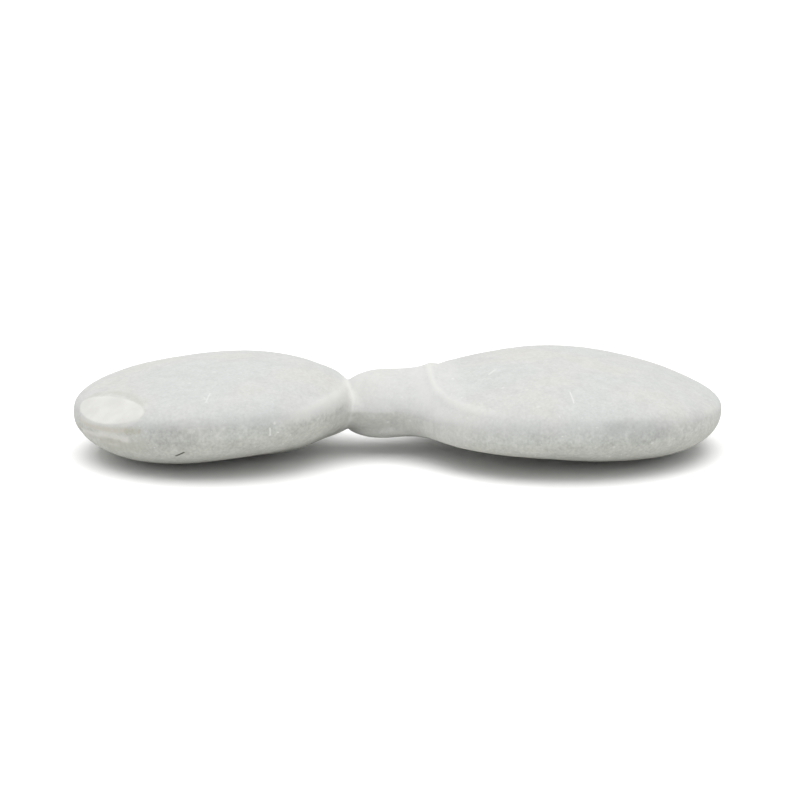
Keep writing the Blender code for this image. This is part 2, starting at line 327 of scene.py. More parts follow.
def chip_field(x, y, z):
    """Positive on the side of the flat scar that the flake took away."""
    facing = np.array(CHIP_FACING)
    facing = facing / np.linalg.norm(facing)
    middle = np.array(CHIP_MIDDLE)
    return (x - middle[0]) * facing[0] + (y - middle[1]) * facing[1] + (z - middle[2]) * facing[2]


def along_broken_band(x, y, z):
    """The strength of the broken band at a point, and the point's angle about the tip."""
    along, across, above_rim = place_on_disc(x, y, z, CHIPPED_DISC)
    angle = np.degrees(np.arctan2(-across, along))
    starts = smooth_step((angle - BAND_FROM_ANGLE) / BAND_FADE_ANGLE)
    ends = 1.0 - smooth_step((angle - BAND_TO_ANGLE) / BAND_FADE_ANGLE)
    off_band = (above_rim - BAND_HEIGHT) / BAND_HALF_HEIGHT
    return starts * ends * np.exp(-(off_band**2)), angle


def broken_band(x, y, z):
    """How deep the rough band below the scar is, which breaks up along its length."""
    strength, angle = along_broken_band(x, y, z)
    breaks = 1.0 - BAND_BREAK_SHARE * (0.5 + 0.5 * np.sin(np.radians(angle) * BAND_BREAKS_PER_TURN))
    return BAND_DEPTH * strength * breaks


# %% The field of the whole stone
def stone_field(x, y, z):
    """Negative inside the stone, zero on its surface and positive outside."""
    chipped = disc_field(x, y, z, CHIPPED_DISC)
    chipped = chipped - rim_bands(x, y, z, CHIPPED_DISC, CHIPPED_DISC_BANDS)
    plain = disc_field(x, y, z, PLAIN_DISC)
    plain = plain - rim_bands(x, y, z, PLAIN_DISC, PLAIN_DISC_BANDS)
    softer = smooth_step((PINCH_SOFTENS_FROM - z) / PINCH_SOFTENS_OVER)
    pinch_reach = PINCHED_BLEND + (LOW_PINCH_BLEND - PINCHED_BLEND) * softer
    body = blend_smallest(chipped, neck_field(x, y, z), pinch_reach)
    body = blend_smallest(body, plain, SOFT_BLEND)
    body = body - worn_swells(x, y, z) + broken_band(x, y, z)
    return -blend_smallest(-body, -chip_field(x, y, z), CHIP_EDGE_ROUNDING)


middle_of_neck = [np.array([value]) for value in (0.0, 0.0, NECK_HEIGHT)]
print("field in the middle of the neck", np.round(stone_field(*middle_of_neck), 2))

# %% [markdown]
# ## From field to mesh
# A field has no faces yet. Marching cubes would make them, but leaves slivers. A ball whose
# rings are spread along the stone is tidier: each of its points is moved straight out from a
# centre line until the field is zero, by halving the step again and again.

# %% A ball of fine rings, stretched over the field
RINGS = 640
POINTS_AROUND = 330
SECTION_WIDTH_TO_HEIGHT = 2.6
LARGEST_RADIUS = 20.0
HALVINGS = 24


def line_height(x):
    """The height of the centre line, from tip to tip, that the points are moved out from."""
    left, right = CHIPPED_DISC, PLAIN_DISC
    left_tip = left["middle_x"] - left["half_length"]
    right_tip = right["middle_x"] + right["half_length"]
    places = (left_tip, left["middle_x"], NECK_MIDDLE_X, right["middle_x"], right_tip)
    left_tip_height = left["rim_height"] - left["rim_fall"] - left["rim_curve"]
    right_tip_height = right["rim_height"] - right["rim_fall"] - right["rim_curve"]
    heights = (left_tip_height, left["rim_height"], NECK_HEIGHT, right["rim_height"], right_tip_height)
    return np.interp(x, places, heights)


def find_tip(disc):
    """Where the centre line leaves the stone beyond a disc."""
    inside = disc["middle_x"]
    outside = disc["middle_x"] + 2.0 * disc["side"] * disc["half_length"]
    for _ in range(HALVINGS):
        middle = 0.5 * (inside + outside)
        height = line_height(middle)
        if stone_field(np.array([middle]), np.array([0.0]), np.array([height]))[0] < 0.0:
            inside = middle
        else:
            outside = middle
    return inside


def move_onto_stone(ball_points):
    """Move the points of a ball of radius 1, with its poles along Z, onto the stone's surface."""
    left_tip = find_tip(CHIPPED_DISC)
    right_tip = find_tip(PLAIN_DISC)
    x = 0.5 * (left_tip + right_tip) + 0.5 * (right_tip - left_tip) * ball_points[:, 2]
    start_height = line_height(x)
    angle = np.arctan2(ball_points[:, 1], ball_points[:, 0])
    across = np.cos(angle) * SECTION_WIDTH_TO_HEIGHT
    upward = np.sin(angle)
    size = np.hypot(across, upward)
    across = across / size
    upward = upward / size
    inside = np.zeros_like(x)
    outside = np.full_like(x, LARGEST_RADIUS)
    for _ in range(HALVINGS):
        radius = 0.5 * (inside + outside)
        is_inside = stone_field(x, radius * across, start_height + radius * upward) < 0.0
        inside = np.where(is_inside, radius, inside)
        outside = np.where(is_inside, outside, radius)
    at_pole = np.abs(ball_points[:, 2]) > 0.999999
    radius = np.where(at_pole, 0.0, inside)
    return np.column_stack((x, radius * across, start_height + radius * upward))


# %% Make the fine mesh
def read_points(mesh):
    """The mesh's points as rows of X, Y and Z."""
    flat = np.empty(len(mesh.vertices) * 3)
    mesh.vertices.foreach_get("co", flat)
    return flat.reshape(-1, 3)


def write_points(mesh, points):
    """Put rows of X, Y and Z back into the mesh."""
    mesh.vertices.foreach_set("co", points.astype(np.float32).ravel())
    mesh.update()


def ball_points():
    """The points of a ball of radius 1: one pole, rings from pole to pole, and the other pole."""
    down = np.linspace(0.0, np.pi, RINGS + 1)[1:-1]
    round_ring = np.linspace(0.0, 2.0 * np.pi, POINTS_AROUND, endpoint=False)
    down, round_ring = np.meshgrid(down, round_ring, indexing="ij")
    columns = (np.sin(down) * np.cos(round_ring), np.sin(down) * np.sin(round_ring), np.cos(down))
    rings = np.stack(columns, axis=-1).reshape(-1, 3)
    return np.vstack(((0.0, 0.0, 1.0), rings, (0.0, 0.0, -1.0)))


def ball_faces():
    """Quads between the rings and triangles at the poles, all facing outwards."""
    ring = np.arange(POINTS_AROUND)
    after = (ring + 1) % POINTS_AROUND
    last = (RINGS - 1) * POINTS_AROUND + 1
    faces = []
    for start in range(1, last - POINTS_AROUND, POINTS_AROUND):
        below = start + POINTS_AROUND
        faces += np.column_stack((start + ring, below + ring, below + after, start + after)).tolist()
    faces += [(0, 1 + first, 1 + second) for first, second in zip(ring, after)]
    start = last - POINTS_AROUND
    faces += [(last, start + second, start + first) for first, second in zip(ring, after)]
    return faces


smooth_points = move_onto_stone(ball_points())
stone_mesh = bpy.data.meshes.new("worn_stone")
stone_mesh.from_pydata(smooth_points.tolist(), [], ball_faces())
print("fine mesh", len(stone_mesh.vertices), "points")

# %% [markdown]
# ## The fine relief
# A worn clay stone is not glassy. It has faint ripples where softer layers wore faster, small
# pits where grains fell out, and a broken face is rougher than a worn one. This is real shape,
# so the points themselves are moved along the surface's normals. The noise is a lattice of
# random numbers from a fixed seed, read with soft steps between them.

# %% Noise and the surface's directions
LATTICE_SIZE = 64
lattice = np.random.default_rng(7).random((LATTICE_SIZE,) * 3)


def soft_noise(points, grain_size, shift):
    """Smooth random heights from -1 to 1, with bumps of about the given size in mm."""
    scaled = points / grain_size + shift
    corner = np.floor(scaled).astype(int)
    part = smooth_step(scaled - corner)
    total = np.zeros(len(points))
    for step_x in (0, 1):
        for step_y in (0, 1):
            for step_z in (0, 1):
                weight = np.abs(1 - step_x - part[:, 0])
                weight = weight * np.abs(1 - step_y - part[:, 1])
                weight = weight * np.abs(1 - step_z - part[:, 2])
                cell = (corner + (step_x, step_y, step_z)) % LATTICE_SIZE
                total = total + weight * lattice[cell[:, 0], cell[:, 1], cell[:, 2]]
    return 2.0 * total - 1.0


def read_normals(mesh):
    """The directions in which the surface faces, one row for each point."""
    flat = np.empty(len(mesh.vertices) * 3)
    mesh.vertices.foreach_get("normal", flat)
    return flat.reshape(-1, 3)


normals = read_normals(stone_mesh)
print("normals point outwards", bool(normals[smooth_points[:, 2].argmax(), 2] > 0.0))

# %% Ripples, layers and the roughness of the broken parts
RIPPLE_SIZE, RIPPLE_HEIGHT = 3.2, 0.030
SMALL_RIPPLE_SIZE, SMALL_RIPPLE_HEIGHT = 1.1, 0.012
GRAIN_SIZE, GRAIN_HEIGHT = 0.45, 0.006
SCAR_WAVE_LENGTH, SCAR_WAVE_HEIGHT = 1.5, 0.004
SCAR_STRUCK_AT = (-31.0, -11.5, 3.0)
BROKEN_GRAIN_SIZE, BROKEN_GRAIN_HEIGHT = 0.55, 0.075
SCAR_RELIEF_FROM, SCAR_RELIEF_OVER = -0.10, 0.06

px, py, pz = smooth_points.T
on_scar = smooth_step((chip_field(px, py, pz) - SCAR_RELIEF_FROM) / SCAR_RELIEF_OVER)
in_broken_band = along_broken_band(px, py, pz)[0]
relief = RIPPLE_HEIGHT * soft_noise(smooth_points, RIPPLE_SIZE, 3.1)
relief = relief + SMALL_RIPPLE_HEIGHT * soft_noise(smooth_points, SMALL_RIPPLE_SIZE, 11.7)
relief = relief * (1.0 - on_scar)
relief = relief + GRAIN_HEIGHT * soft_noise(smooth_points, GRAIN_SIZE, 23.3)
from_strike = np.linalg.norm(smooth_points - SCAR_STRUCK_AT, axis=1)
scar_waves = np.sin(from_strike * 2.0 * np.pi / SCAR_WAVE_LENGTH)
relief = relief + on_scar * SCAR_WAVE_HEIGHT * scar_waves
broken_grain = soft_noise(smooth_points, BROKEN_GRAIN_SIZE, 5.9)
relief = relief + in_broken_band * BROKEN_GRAIN_HEIGHT * broken_grain
print("relief from", round(relief.min(), 3), "to", round(relief.max(), 3), "mm")

# %% [markdown]
# ## Pits and the dark nick
# Many small pits are strewn over the whole stone from a fixed seed, each a shallow round
# dent. One short nick is low on the front of the chipped disc, a small groove that the
# material paints nearly black. A pit is thrown at the box of the stone and lands on the nearest
# point, so the pits are spread evenly however the points lie.

# %% Press the pits and the nick into the surface
PIT_COUNT = 170
PIT_RADII = (0.16, 0.42)
PIT_DEPTH_TO_RADIUS = 0.13
NICK_ENDS = ((-23.83, -12.55, 2.87), (-22.98, -13.21, 3.41))
NICK_HALF_WIDTH = 0.16
NICK_DEPTH = 0.10


def distance_to_stroke(points, start, end):
    """How far each point is from a straight stroke between two places."""
    start, end = np.array(start), np.array(end)
    along = end - start
    share = np.clip((points - start) @ along / (along @ along), 0.0, 1.0)
    return np.linalg.norm(points - start - share[:, None] * along, axis=1)


pit_random = np.random.default_rng(41)
low_corner, high_corner = smooth_points.min(axis=0), smooth_points.max(axis=0)
for _ in range(PIT_COUNT):
    thrown_at = pit_random.uniform(low_corner, high_corner)
    middle = smooth_points[np.argmin(np.sum((smooth_points - thrown_at) ** 2, axis=1))]
    radius = pit_random.uniform(*PIT_RADII)
    near = np.flatnonzero(np.abs(smooth_points - middle).max(axis=1) < 2.0 * radius)
    away = np.linalg.norm(smooth_points[near] - middle, axis=1)
    relief[near] -= radius * PIT_DEPTH_TO_RADIUS * np.exp(-2.0 * (away / radius) ** 2)
print("pits", PIT_COUNT)

# %% Thin the mesh out, and rest the stone
WORN_FLAT = 0.06
TRIANGLES_WANTED = 185000

lowest = smooth_points[:, 2].min() + WORN_FLAT
rest_shift = np.append(0.5 * (smooth_points.min(axis=0) + smooth_points.max(axis=0))[:2], lowest)
nick_away = distance_to_stroke(smooth_points - rest_shift, *NICK_ENDS)
relief = relief - NICK_DEPTH * np.exp(-((nick_away / NICK_HALF_WIDTH) ** 2))
write_points(stone_mesh, smooth_points + normals * relief[:, None] - rest_shift)

fine_stone = bpy.data.objects.new("fine_stone", stone_mesh)
bpy.context.scene.collection.objects.link(fine_stone)
thinner = fine_stone.modifiers.new("thin out", "DECIMATE")
thinner.ratio = TRIANGLES_WANTED / (2.0 * RINGS * POINTS_AROUND)
depsgraph = bpy.context.evaluated_depsgraph_get()
thinned_mesh = bpy.data.meshes.new_from_object(fine_stone.evaluated_get(depsgraph))
bpy.data.objects.remove(fine_stone)

resting = read_points(thinned_mesh)
resting[:, 2] = np.maximum(resting[:, 2], 0.0)
write_points(thinned_mesh, resting)
print("triangles", sum(len(face.vertices) - 2 for face in thinned_mesh.polygons))

# %% [markdown]
# ## Where the stone looks different
# The scar is creamy, the broken band is brownish, and the crests and the pinch round the neck
# are rubbed paler. The whole neck zone is painted paler too, which is painted light on a front
# that faces down. Faces that point down are painted a darker olive grey, which is painted shade.
# Painting this by hand would need a brush and a picture. Here each place has a formula
# already, so the strength of each look is worked out for every point of the mesh and kept as
# an attribute that the material reads.

# %% Keep the strength of each look on the points
SCAR_EDGE = (-0.060, -0.020)
CREST_INSET, CREST_HALF_WIDTH = 0.30, 0.45
FLANK_INSET, FLANK_HALF_WIDTH, FLANK_SHARE = -0.90, 1.30, 0.60
CREST_FADES_FROM, CREST_FADES_TO = 30.0, 72.0
CREST_STARTS_ABOVE, CREST_STARTS_OVER = 0.05, 0.12
PINCH_HALF_WIDTH, SOFT_CREASE_HALF_WIDTH = 0.30, 0.45
SOFT_CREASE_SHARE = 0.55
NECK_PAINTED_LIGHT_SHARE = 0.40
NECK_ZONE_HALF_LENGTH, NECK_ZONE_FADE = 7.5, 2.0
UNDERNEATH_FROM, UNDERNEATH_OVER = 0.35, 0.9

resting = read_points(thinned_mesh)
formed = resting + rest_shift
fx, fy, fz = formed.T
looks = {}
looks["scar"] = smooth_step((chip_field(fx, fy, fz) - SCAR_EDGE[0]) / (SCAR_EDGE[1] - SCAR_EDGE[0]))
looks["broken_band"] = along_broken_band(fx, fy, fz)[0] * (1.0 - looks["scar"])

crest = np.zeros(len(formed))
for disc in (CHIPPED_DISC, PLAIN_DISC):
    inside_crest, angle = inside_crest_and_angle(fx, fy, fz, disc)
    above_rim = place_on_disc(fx, fy, fz, disc)[2]
    here = np.exp(-(((inside_crest - CREST_INSET) / CREST_HALF_WIDTH) ** 2))
    flank = np.exp(-(((inside_crest - FLANK_INSET) / FLANK_HALF_WIDTH) ** 2))
    here = np.maximum(here, FLANK_SHARE * flank)
    here = here * (1.0 - smooth_step((angle - CREST_FADES_FROM) / (CREST_FADES_TO - CREST_FADES_FROM)))
    crest = np.maximum(crest, here * rise_above(above_rim, CREST_STARTS_ABOVE, CREST_STARTS_OVER))
bar = neck_field(fx, fy, fz)
pinch = np.exp(-(((disc_field(fx, fy, fz, CHIPPED_DISC) - bar) / PINCH_HALF_WIDTH) ** 2))
soft_crease = np.exp(-(((disc_field(fx, fy, fz, PLAIN_DISC) - bar) / SOFT_CREASE_HALF_WIDTH) ** 2))
near_neck = smooth_step((NECK_ZONE_HALF_LENGTH - np.abs(fx)) / NECK_ZONE_FADE)
pinch = pinch * near_neck
soft_crease = soft_crease * near_neck * SOFT_CREASE_SHARE
# The crests and the pinch are rubbed paler. The share over the whole neck zone is painted light, which
# lifts the neck whose front faces down.
looks["rubbed_and_lit_pale"] = np.maximum.reduce([crest, pinch, soft_crease, NECK_PAINTED_LIGHT_SHARE * near_neck])
facing_up = read_normals(thinned_mesh)[:, 2]
looks["underneath"] = smooth_step((UNDERNEATH_FROM - facing_up) / UNDERNEATH_OVER)

for name, strength in looks.items():
    layer = thinned_mesh.attributes.new(name, "FLOAT", "POINT")
    layer.data.foreach_set("value", np.clip(strength, 0.0, 1.0).astype(np.float32))
    print(name, "covers", round(100.0 * float(np.mean(strength > 0.5)), 2), "% of the points")

# %% [markdown]
# ## The material
# One material carries all looks, because the stone is one stuff. It is worked out from the
# place on the stone in millimetres, so the grain keeps its size and goes right through the
# stone, with no unwrapping. A few small helpers keep the node code short.

# %% Helpers for nodes
material = bpy.data.materials.new("fine_clay_stone")
material.use_nodes = True
tree = material.node_tree
nodes, links = tree.nodes, tree.links
shader = nodes["Principled BSDF"]


def feed(socket, value):
    """Join an output to a socket, or set a plain value on it."""
    if isinstance(value, bpy.types.NodeSocket):
        links.new(value, socket)
    else:
        socket.default_value = value


def maths(operation, first, second=0.0, third=0.0, held=False):
    """One step of arithmetic on numbers."""
    node = nodes.new("ShaderNodeMath")
    node.operation = operation
    node.use_clamp = held
    for socket, value in zip(node.inputs, (first, second, third)):
        feed(socket, value)
    return node.outputs["Value"]


def vector_maths(operation, first, second=(0.0, 0.0, 0.0), give="Vector"):
    """One step of arithmetic on places or directions."""
    node = nodes.new("ShaderNodeVectorMath")
    node.operation = operation
    feed(node.inputs[0], first)
    if operation == "SCALE":
        feed(node.inputs["Scale"], second)
    elif operation not in ("LENGTH", "NORMALIZE"):
        feed(node.inputs[1], second)
    return node.outputs[give]


def fade(value, start, end, low=0.0, high=1.0):
    """Go softly from low to high while the value goes from start to end."""
    node = nodes.new("ShaderNodeMapRange")
    node.interpolation_type = "SMOOTHSTEP"
    for name, given in (("Value", value), ("From Min", start), ("From Max", end)):
        feed(node.inputs[name], given)
    feed(node.inputs["To Min"], low)
    feed(node.inputs["To Max"], high)
    return node.outputs["Result"]


def noise(place, size, detail, seed, roughness=0.5):
    """Smooth noise from about 0 to 1, with blotches of about the given size in mm."""
    node = nodes.new("ShaderNodeTexNoise")
    node.noise_dimensions = "4D"
    feed(node.inputs["Vector"], place)
    feed(node.inputs["W"], seed)
    feed(node.inputs["Scale"], 1.0 / size)
    feed(node.inputs["Detail"], detail)
    feed(node.inputs["Roughness"], roughness)
    return node.outputs["Fac"]


def look(name):
    """The strength of a look that was kept on the points."""
    node = nodes.new("ShaderNodeAttribute")
    node.attribute_name = name
    return node.outputs["Fac"]


def tint(colour, other, share):
    """A colour that goes over into another one by a share from 0 to 1."""
    node = nodes.new("ShaderNodeMix")
    node.data_type = "RGBA"
    node.clamp_factor = True
    feed(node.inputs[0], share)
    feed(node.inputs[6], colour)
    feed(node.inputs[7], other)
    return node.outputs[2]


where = nodes.new("ShaderNodeTexCoord").outputs["Object"]
place_mm = vector_maths("SCALE", where, 1.0 / METRES_PER_MM)
print("material", material.name)

# %% [markdown]
# ## The colour of the clean stone
# The stone is a pale neutral grey with three scales of change: broad clouds between a cooler
# and a warmer grey, mottles of a millimetre or so, and a grain that is only just seen.

# %% Clouds, mottles and grain
COOL_GREY = (0.422, 0.432, 0.423, 1.0)
WARM_GREY = (0.436, 0.434, 0.420, 1.0)
UNDERSIDE_SHADE_OLIVE = (0.380, 0.386, 0.345, 1.0)
COOL_PATCH_MIDDLE, COOL_PATCH_REACH = (-21.5, -3.5, 9.0), 9.0
GREEN_PATCH_MIDDLE, GREEN_PATCH_REACH = (10.5, -3.0, 9.0), 6.5
UNDERSIDE_SHADE_SHARE = 0.75
MOTTLE_CONTRAST, GRAIN_CONTRAST = 0.045, 0.055
MORE_CONTRAST_BELOW = 2.2


def nearness(middle, reach):
    """1 at a place and 0 beyond its reach."""
    away = vector_maths("DISTANCE", place_mm, middle, give="Value")
    return fade(away, reach, 0.3 * reach)


clouds = noise(place_mm, 8.0, 2.0, 1.3)
cool_share = maths("ADD", fade(clouds, 0.36, 0.64), nearness(COOL_PATCH_MIDDLE, COOL_PATCH_REACH))
cool_share = maths("ADD", cool_share, nearness(GREEN_PATCH_MIDDLE, GREEN_PATCH_REACH), held=True)
stone_colour = tint(WARM_GREY, COOL_GREY, cool_share)
# Faces that point down are painted a darker olive grey: painted shade.
stone_colour = tint(stone_colour, UNDERSIDE_SHADE_OLIVE, maths("MULTIPLY", look("underneath"), UNDERSIDE_SHADE_SHARE))

mottles = noise(place_mm, 1.3, 4.0, 6.1, roughness=0.62)
grain = noise(place_mm, 0.30, 2.0, 9.4, roughness=0.6)
mottled = fade(mottles, 0.25, 0.75, -MOTTLE_CONTRAST, MOTTLE_CONTRAST)
grained = fade(grain, 0.25, 0.75, -GRAIN_CONTRAST, GRAIN_CONTRAST)
unevenness = maths("ADD", mottled, grained)
more_below = fade(look("underneath"), 0.0, 0.45, 1.0, MORE_CONTRAST_BELOW)
brightness = maths("ADD", 1.0, maths("MULTIPLY", unevenness, more_below))
stone_colour = vector_maths("SCALE", stone_colour, brightness)
print("stone colours", COOL_GREY[:3], WARM_GREY[:3])

# %% [markdown]
# ## Flecks and scratches
# Small pale flecks and short hairline scratches lie all over the stone. A cell texture gives
# each cell a centre and random numbers. Round the centre of a few cells a thin rod is drawn in
# a random direction, and where it meets the surface it shows as a dot or a dash.

# %% Random flecks and scratches
FLECKS = {"cell": 1.15, "half_length": 0.10, "half_width": 0.085, "share": 0.42, "seed": 2.0}
SCRATCHES = {"cell": 1.9, "half_length": 0.75, "half_width": 0.055, "share": 0.55, "seed": 5.0}
FINE_FLECKS = {"cell": 0.62, "half_length": 0.05, "half_width": 0.060, "share": 0.30, "seed": 8.0}


def rods(cell, half_length, half_width, share, seed):
    """The strength, from 0 to 1, of thin rods in some of the cells of a cell texture."""
    cells = nodes.new("ShaderNodeTexVoronoi")
    cells.voronoi_dimensions = "3D"
    shifted = vector_maths("ADD", place_mm, (seed * 7.3, seed * 3.1, seed * 5.7))
    feed(cells.inputs["Vector"], shifted)
    feed(cells.inputs["Scale"], 1.0 / cell)
    feed(cells.inputs["Randomness"], 0.9)
    from_centre = vector_maths("SUBTRACT", shifted, cells.outputs["Position"])
    direction = vector_maths("SUBTRACT", cells.outputs["Color"], (0.5, 0.5, 0.5))
    direction = vector_maths("NORMALIZE", direction)
    along = vector_maths("DOT_PRODUCT", from_centre, direction, give="Value")
    held_along = maths("MINIMUM", maths("MAXIMUM", along, -half_length), half_length)
    nearest = vector_maths("SCALE", direction, held_along)
    away = vector_maths("DISTANCE", from_centre, nearest, give="Value")
    on_rod = fade(away, half_width, 0.35 * half_width)
    chosen = nodes.new("ShaderNodeTexWhiteNoise")
    chosen.noise_dimensions = "3D"
    feed(chosen.inputs["Vector"], cells.outputs["Color"])
    return maths("MULTIPLY", on_rod, maths("LESS_THAN", chosen.outputs["Value"], share))


flecks = maths("MAXIMUM", rods(**FLECKS), maths("MULTIPLY", rods(**FINE_FLECKS), 0.6))
scratches = maths("MULTIPLY", rods(**SCRATCHES), 0.75)
pale_marks = maths("MAXIMUM", flecks, scratches)
print("kinds of random marks", 3)

# %% [markdown]
# ## The marks that can be told one by one
# A few scratches and spots stand out on this stone. Each is a short stroke between two places
# on the surface in millimetres, and the material measures how far it is from the stroke. That
# draws a crisp line however coarse the mesh is.

# %% Named strokes and spots
STROKES = (
    ((-20.23, -9.54, 8.84), (-20.64, -11.57, 8.38), 0.10, 0.9),
    ((-21.00, -10.05, 8.76), (-20.40, -11.75, 8.32), 0.09, 0.6),
    ((-21.60, -11.05, 8.46), (-19.90, -10.90, 8.52), 0.09, 0.5),
    ((-14.03, -13.17, 5.91), (-14.03, -13.00, 5.12), 0.10, 1.0),
    ((9.59, -2.61, 8.87), (10.39, -1.30, 9.10), 0.17, 0.9),
    ((17.46, -10.82, 8.80), (17.62, -13.34, 8.23), 0.09, 1.2),
    ((17.52, -12.00, 8.57), (17.97, -13.80, 8.00), 0.08, 0.8),
    ((33.42, -3.92, 6.03), (33.28, -4.60, 5.60), 0.12, 0.8),
)
SPOTS = (
    ((-19.85, -2.64, 9.46), 0.28, 0.9),
    ((-22.43, -5.64, 9.01), 0.22, 0.7),
    ((-13.55, -12.97, 6.39), 0.18, 0.8),
    ((-1.36, -4.74, 4.25), 0.18, 0.8),
    ((0.93, -5.86, 4.65), 0.18, 0.7),
    ((0.14, -4.68, 6.96), 0.16, 0.7),
    ((5.67, -3.27, 8.53), 0.22, 1.0),
    ((10.68, -7.63, 8.54), 0.20, 1.0),
    ((13.06, -9.43, 8.73), 0.18, 1.0),
    ((13.84, -13.57, 7.94), 0.26, 0.7),
    ((17.87, -16.17, 6.27), 0.20, 0.6),
    ((25.74, -14.27, 4.07), 0.20, 0.7),
    ((21.60, -15.66, 4.05), 0.20, 0.6),
)


def drawn_stroke(start, end, half_width, strength):
    """The strength of one pale stroke between two places."""
    start, end = Vector(start), Vector(end)
    span = end - start
    from_start = vector_maths("SUBTRACT", place_mm, tuple(start))
    share = vector_maths("DOT_PRODUCT", from_start, tuple(span / span.length_squared), give="Value")
    held_share = maths("MINIMUM", maths("MAXIMUM", share, 0.0), 1.0)
    nearest = vector_maths("SCALE", tuple(span), held_share)
    away = vector_maths("DISTANCE", from_start, nearest, give="Value")
    return fade(away, half_width * 1.3, half_width * 0.3, 0.0, strength)


def drawn_line(places, half_width, strength):
    """The strength of a line that runs from place to place."""
    strongest = 0.0
    for start, end in zip(places, places[1:]):
        stroke = drawn_stroke(start, end, half_width, strength)
        strongest = maths("MAXIMUM", strongest, stroke)
    return strongest


def drawn_spot(middle, radius, strength):
    """The strength of one pale spot."""
    away = vector_maths("DISTANCE", place_mm, middle, give="Value")
    return fade(away, radius * 1.3, radius * 0.3, 0.0, strength)


for stroke in STROKES:
    pale_marks = maths("MAXIMUM", pale_marks, drawn_stroke(*stroke))
for spot in SPOTS:
    pale_marks = maths("MAXIMUM", pale_marks, drawn_spot(*spot))
print("strokes", len(STROKES), "spots", len(SPOTS))

# %% [markdown]
# ## The rubbed crests, the scar and the broken band
# Rubbed stone is paler because its skin is scratched fine, and the neck zone is painted paler
# as painted light. The scar shows the inside of the stone, a warm cream. The band below it is
# crushed and has taken up brown dirt, with darker specks in it. A pale lip below the band is a
# painted highlight, and a dark olive patch under the lip and two dark bands low on the disc
# fronts are painted shade. Each colour goes over the last one, by a strength that the points
# carry or by how near a drawn line is.

# %% Layer the colours
PALE_MARK = (0.56, 0.565, 0.545, 1.0)
RUBBED_AND_LIT_PALE = (0.515, 0.513, 0.498, 1.0)
SCAR_CREAM = (0.502, 0.500, 0.484, 1.0)
SCAR_EDGE_OLIVE = (0.352, 0.352, 0.308, 1.0)
BAND_BROWN = (0.418, 0.404, 0.358, 1.0)
BAND_DARK = (0.325, 0.318, 0.265, 1.0)
LIP_PAINTED_HIGHLIGHT = (0.545, 0.537, 0.510, 1.0)
PAINTED_SHADE_DARKENS_TO = 0.86
SHADE_BELOW_SCAR_SHARE = 0.6
NICK_DARK = (0.040, 0.042, 0.025, 1.0)
PALE_MARK_SHARES = (0.60, 0.95)
SHADE_BELOW_SCAR = ((-31.2, -8.6, 3.20), (-27.3, -12.2, 4.05), 1.1)
PAINTED_SHADE_BANDS = (
    ((21.80, -15.80, 5.60), (26.90, -13.80, 5.15), 1.8),
    ((-25.60, -13.20, 5.00), (-22.80, -14.00, 5.10), 1.7),
)
DARK_SPOT = ((-28.90, -11.55, 5.30), (-27.70, -12.20, 5.55), 0.50)
BROWN_LINE = (
    (-34.02, -5.07, 5.06),
    (-32.95, -7.25, 4.92),
    (-31.83, -8.82, 5.02),
    (-30.52, -10.18, 5.10),
    (-29.01, -11.41, 5.42),
)
BROWN_HALF_WIDTH = 0.34
BAND_BROWN_SHARE = 0.40
DARK_BITS_SHARE = 0.35
LIP_HIGHLIGHT_LINE = (
    (-33.80, -4.40, 3.75),
    (-33.20, -5.80, 3.86),
    (-31.50, -8.95, 4.40),
    (-30.10, -10.30, 4.44),
    (-29.00, -11.30, 4.40),
)
LIP_HIGHLIGHT_HALF_WIDTH = 0.48
LIP_HIGHLIGHT_SHARE = 0.6
SCAR_RIM_LINE = (
    (-33.92, -3.54, 6.34),
    (-32.55, -2.97, 7.17),
    (-30.48, -3.94, 7.71),
    (-28.70, -6.37, 7.90),
    (-27.46, -9.62, 7.66),
)
SCAR_RIM_HALF_WIDTH = 0.55
SCAR_RIM_SHARE = 0.30
SCAR_LOW_LINE = (
    (-33.86, -5.43, 5.39),
    (-32.37, -7.89, 5.56),
    (-30.51, -9.95, 5.84),
    (-29.00, -11.26, 6.16),
    (-27.83, -11.69, 6.68),
)
SCAR_LOW_HALF_WIDTH = 0.50
SCAR_LOW_SHARE = 0.75

# Rubbed paler on the crests and pinch, and painted light over the neck zone.
rubbed_and_lit = maths("MULTIPLY", look("rubbed_and_lit_pale"), fade(mottles, 0.2, 0.8, 0.75, 1.0))
colour = tint(stone_colour, RUBBED_AND_LIT_PALE, rubbed_and_lit)
mark_share = fade(look("underneath"), 0.0, 0.45, *PALE_MARK_SHARES)
colour = tint(colour, PALE_MARK, maths("MULTIPLY", pale_marks, mark_share))

# Painted shade: a darker olive patch below the scar, where the edge turns under below the lip. The
# clouds break up this patch and the painted shade bands.
shade_breakup_clouds = noise(place_mm, 0.9, 3.0, 4.4)
shade_below_scar = drawn_stroke(*SHADE_BELOW_SCAR, 1.0)
shade_below_scar = maths("MULTIPLY", shade_below_scar, fade(shade_breakup_clouds, 0.30, 0.65, 0.35, 1.0))
colour = tint(colour, SCAR_EDGE_OLIVE, maths("MULTIPLY", shade_below_scar, SHADE_BELOW_SCAR_SHARE))
# Painted shade: two dark bands low on the disc fronts, just under the rims.
painted_shade_band = 0.0
for stroke in PAINTED_SHADE_BANDS:
    painted_shade_band = maths("MAXIMUM", painted_shade_band, drawn_stroke(*stroke, 1.0))
painted_shade_band = maths("MULTIPLY", painted_shade_band, fade(shade_breakup_clouds, 0.30, 0.65, 0.35, 1.0))
colour = vector_maths("SCALE", colour, fade(painted_shade_band, 0.0, 1.0, 1.0, PAINTED_SHADE_DARKENS_TO))

